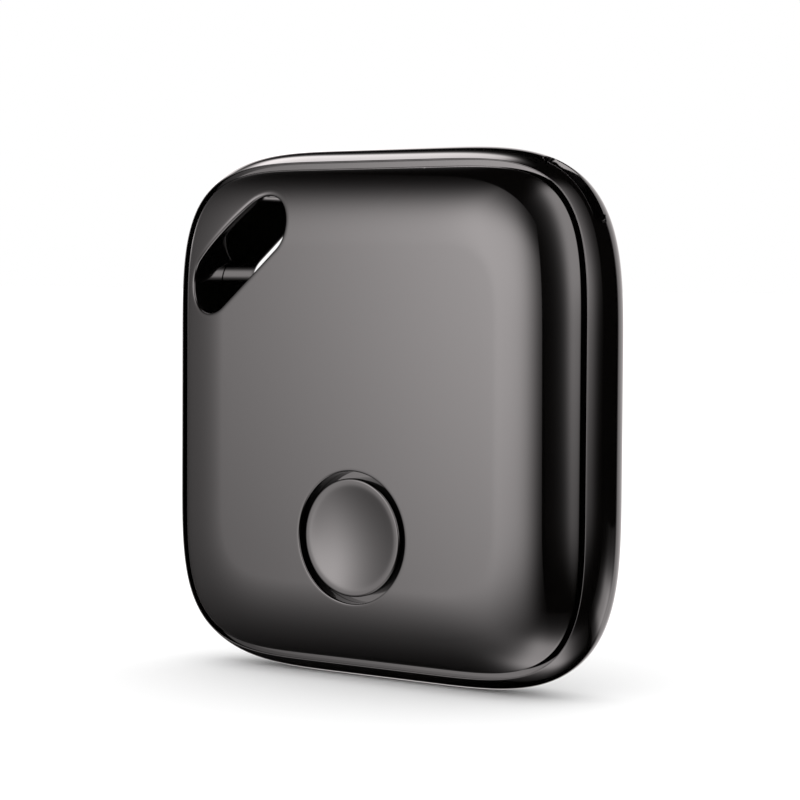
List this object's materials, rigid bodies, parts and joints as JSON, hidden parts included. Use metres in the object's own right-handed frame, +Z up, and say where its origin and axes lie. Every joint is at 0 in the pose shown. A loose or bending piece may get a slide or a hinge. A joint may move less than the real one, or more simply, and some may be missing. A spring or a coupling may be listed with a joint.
{
  "type": "bluetooth tracker tag",
  "caption": "Small square black gloss tracker tag with rounded corners, a slanted lanyard slot and a round dished button, opening to a circuit board and a coin cell.",
  "frame": {"origin": "Centre of the overall bounding box: the middle of the square tag, halfway between its front and back faces.", "axes": "Metres, right handed. +Z is up as the tag stands with its lanyard slot at the top left, +X is to the right seen from the front, and +Y runs from the front face to the back."},
  "size_m": [0.038, 0.008, 0.038],
  "materials": {
    "gloss_black": "polished",
    "satin_black": "satin",
    "seal_rubber": "matte",
    "board_green": "satin",
    "chip_black": "matte",
    "part_ceramic": "satin",
    "white_ceramic": "satin",
    "steel": "brushed",
    "brass": "satin",
    "tape": "matte"
  },
  "bodies": {
    "case": {"front_shell": "gloss_black", "case_seal": "seal_rubber", "switch_body": "satin_black", "switch_dome": "steel", "switch_cover": "steel", "main_board": "board_green", "cell_carrier": "satin_black", "carrier_screw_1": "steel", "carrier_screw_2": "steel", "carrier_screw_3": "steel", "positive_contact_1": "brass", "positive_contact_2": "brass", "negative_contact": "brass", "buzzer_tape": "tape", "buzzer_plate": "brass", "buzzer_ceramic": "white_ceramic", "buzzer_contact_1": "brass", "buzzer_contact_2": "brass", "bluetooth_chip": "chip_black", "flash_chip": "chip_black", "crystal": "steel", "slow_crystal": "steel", "chip_antenna": "white_ceramic", "boost_coil": "seal_rubber", "capacitor_1": "part_ceramic", "capacitor_2": "part_ceramic", "capacitor_3": "part_ceramic", "capacitor_4": "part_ceramic", "capacitor_5": "part_ceramic", "capacitor_6": "part_ceramic", "resistor_1": "chip_black", "resistor_2": "chip_black", "resistor_3": "chip_black", "resistor_4": "chip_black"},
    "button": {"button_cap": "gloss_black"},
    "plunger": {"switch_plunger": "satin_black"},
    "rear_cover": {"rear_shell": "gloss_black"},
    "cell": {"cell_can": "steel", "cell_gasket": "satin_black", "cell_cap": "steel"}
  },
  "joints": [
    {"name": "button_press", "type": "slide", "parent": "case", "child": "button", "axis": [0, 1, 0], "range_m": [0, 0.00025], "stiffness_N_per_m": 1500, "deforming": ["switch_dome"]},
    {"name": "switch_press", "type": "slide", "parent": "case", "child": "plunger", "axis": [0, 1, 0], "range_m": [0, 0.00025]},
    {"name": "cover_lift", "type": "slide", "parent": "case", "child": "rear_cover", "axis": [0, 1, 0], "range_m": [0, 0.016]},
    {"name": "cell_lift", "type": "slide", "parent": "case", "child": "cell", "axis": [0, 1, 0], "range_m": [0, 0.008]}
  ],
  "couplings": [
    {"joint": "switch_press", "follows": "button_press", "ratio": 1},
    {"joint": "cell_lift", "follows": "cover_lift", "ratio": 0.5}
  ]
}
